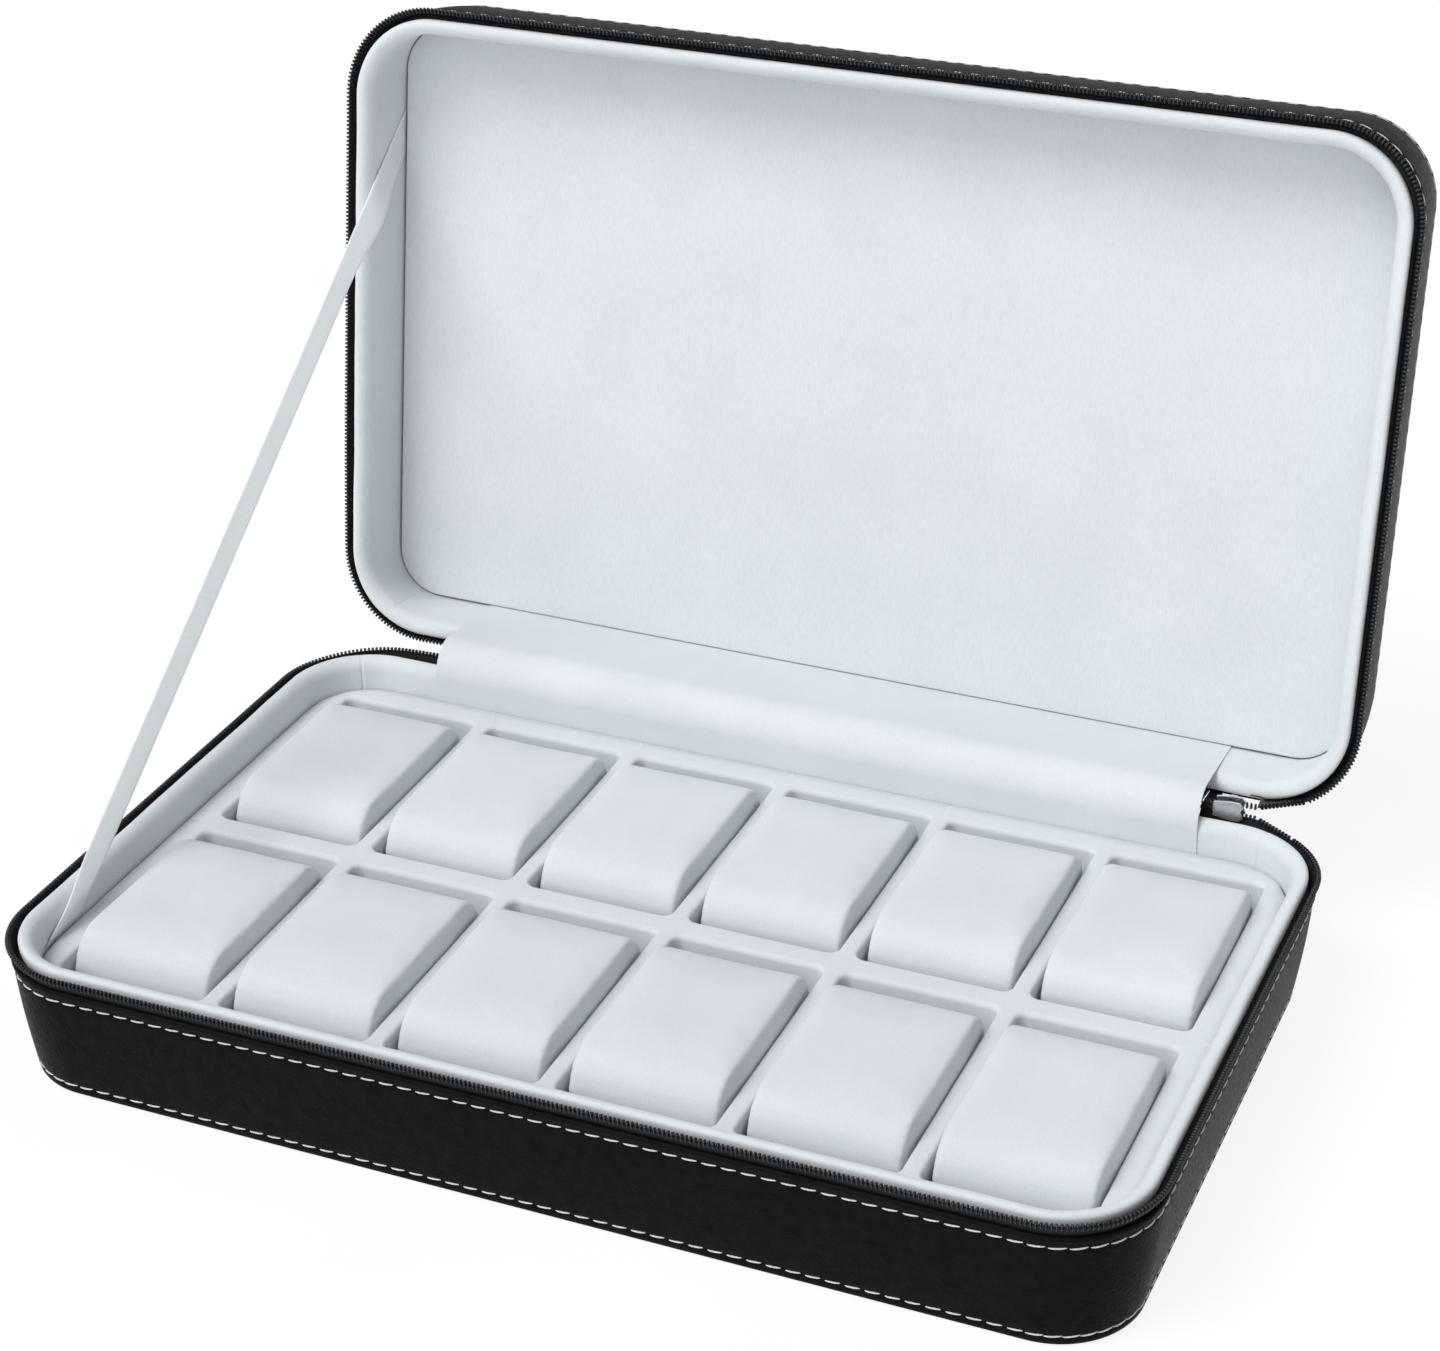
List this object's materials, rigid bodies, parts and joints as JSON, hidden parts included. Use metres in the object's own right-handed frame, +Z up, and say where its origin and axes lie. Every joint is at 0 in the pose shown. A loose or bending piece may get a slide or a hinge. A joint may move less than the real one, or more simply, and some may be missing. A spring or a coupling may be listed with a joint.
{
  "type": "watch box",
  "caption": "Zip-around watch case with a leather-covered base and lid, a velvet tray with lift-out pillows in rows and a ribbon that holds the lid open.",
  "frame": {"origin": "centre of the underside, on the surface that the case stands on", "axes": "+X along the case's long side, +Y from the front to the hinge, +Z up"},
  "size_m": [0.3208, 0.2707, 0.2326],
  "materials": {
    "leather_black": "fine pebble grain, satin",
    "velvet_grey": "short-pile velvet",
    "board": "pressed board, matt",
    "foam": "soft foam, matt",
    "zip_black": "woven tape and nylon coil",
    "thread_white": "twisted thread",
    "nickel": "polished nickel",
    "satin_ribbon": "satin weave"
  },
  "bodies": {
    "base": {"base_leather_band": "leather_black", "base_bottom_panel": "leather_black", "base_board_shell": "board", "base_lining_wall": "velvet_grey", "tray_floor_board": "board", "tray_insert": "velvet_grey", "base_zip_tape": "zip_black", "base_zip_coil": "zip_black", "base_stitching": "thread_white", "hinge_spine": "leather_black", "hinge_flap": "velvet_grey", "zip_chain_end": "zip_black", "support_ribbon": "satin_ribbon"},
    "lid": {"lid_leather_band": "leather_black", "lid_top_panel": "leather_black", "lid_board_shell": "board", "lid_lining_wall": "velvet_grey", "lid_padded_panel": "velvet_grey", "lid_zip_tape": "zip_black", "lid_zip_coil": "zip_black", "lid_stitching": "thread_white"},
    "slider": {"zip_slider": "nickel"},
    "pull": {"zip_pull": "nickel"},
    "pillow_front_1": {"pillow_cover_front_1": "velvet_grey", "pillow_core_front_1": "foam"},
    "pillow_front_2": {"pillow_cover_front_2": "velvet_grey", "pillow_core_front_2": "foam"},
    "pillow_front_3": {"pillow_cover_front_3": "velvet_grey", "pillow_core_front_3": "foam"},
    "pillow_front_4": {"pillow_cover_front_4": "velvet_grey", "pillow_core_front_4": "foam"},
    "pillow_front_5": {"pillow_cover_front_5": "velvet_grey", "pillow_core_front_5": "foam"},
    "pillow_front_6": {"pillow_cover_front_6": "velvet_grey", "pillow_core_front_6": "foam"},
    "pillow_rear_1": {"pillow_cover_rear_1": "velvet_grey", "pillow_core_rear_1": "foam"},
    "pillow_rear_2": {"pillow_cover_rear_2": "velvet_grey", "pillow_core_rear_2": "foam"},
    "pillow_rear_3": {"pillow_cover_rear_3": "velvet_grey", "pillow_core_rear_3": "foam"},
    "pillow_rear_4": {"pillow_cover_rear_4": "velvet_grey", "pillow_core_rear_4": "foam"},
    "pillow_rear_5": {"pillow_cover_rear_5": "velvet_grey", "pillow_core_rear_5": "foam"},
    "pillow_rear_6": {"pillow_cover_rear_6": "velvet_grey", "pillow_core_rear_6": "foam"}
  },
  "joints": [
    {"name": "lid_hinge", "type": "hinge", "parent": "base", "child": "lid", "pos_m": [0, 0.1014, 0.0359], "axis": [-1, 0, 0], "range_deg": [-98, 0], "deforming": ["hinge_spine", "hinge_flap", "zip_chain_end", "support_ribbon"]},
    {"name": "zip_slide", "type": "slide", "parent": "base", "child": "slider", "axis": [1, 0, 0], "range_m": [0, 0.003]},
    {"name": "pull_swing", "type": "hinge", "parent": "slider", "child": "pull", "pos_m": [0.1283, 0.1044, 0.0414], "axis": [1, 0, 0], "range_deg": [0, 55]},
    {"name": "pillow_lift_front_1", "type": "slide", "parent": "base", "child": "pillow_front_1", "axis": [0, 0, 1], "range_m": [0, 0.05]},
    {"name": "pillow_lift_front_2", "type": "slide", "parent": "base", "child": "pillow_front_2", "axis": [0, 0, 1], "range_m": [0, 0.05]},
    {"name": "pillow_lift_front_3", "type": "slide", "parent": "base", "child": "pillow_front_3", "axis": [0, 0, 1], "range_m": [0, 0.05]},
    {"name": "pillow_lift_front_4", "type": "slide", "parent": "base", "child": "pillow_front_4", "axis": [0, 0, 1], "range_m": [0, 0.05]},
    {"name": "pillow_lift_front_5", "type": "slide", "parent": "base", "child": "pillow_front_5", "axis": [0, 0, 1], "range_m": [0, 0.05]},
    {"name": "pillow_lift_front_6", "type": "slide", "parent": "base", "child": "pillow_front_6", "axis": [0, 0, 1], "range_m": [0, 0.05]},
    {"name": "pillow_lift_rear_1", "type": "slide", "parent": "base", "child": "pillow_rear_1", "axis": [0, 0, 1], "range_m": [0, 0.05]},
    {"name": "pillow_lift_rear_2", "type": "slide", "parent": "base", "child": "pillow_rear_2", "axis": [0, 0, 1], "range_m": [0, 0.05]},
    {"name": "pillow_lift_rear_3", "type": "slide", "parent": "base", "child": "pillow_rear_3", "axis": [0, 0, 1], "range_m": [0, 0.05]},
    {"name": "pillow_lift_rear_4", "type": "slide", "parent": "base", "child": "pillow_rear_4", "axis": [0, 0, 1], "range_m": [0, 0.05]},
    {"name": "pillow_lift_rear_5", "type": "slide", "parent": "base", "child": "pillow_rear_5", "axis": [0, 0, 1], "range_m": [0, 0.05]},
    {"name": "pillow_lift_rear_6", "type": "slide", "parent": "base", "child": "pillow_rear_6", "axis": [0, 0, 1], "range_m": [0, 0.05]}
  ]
}
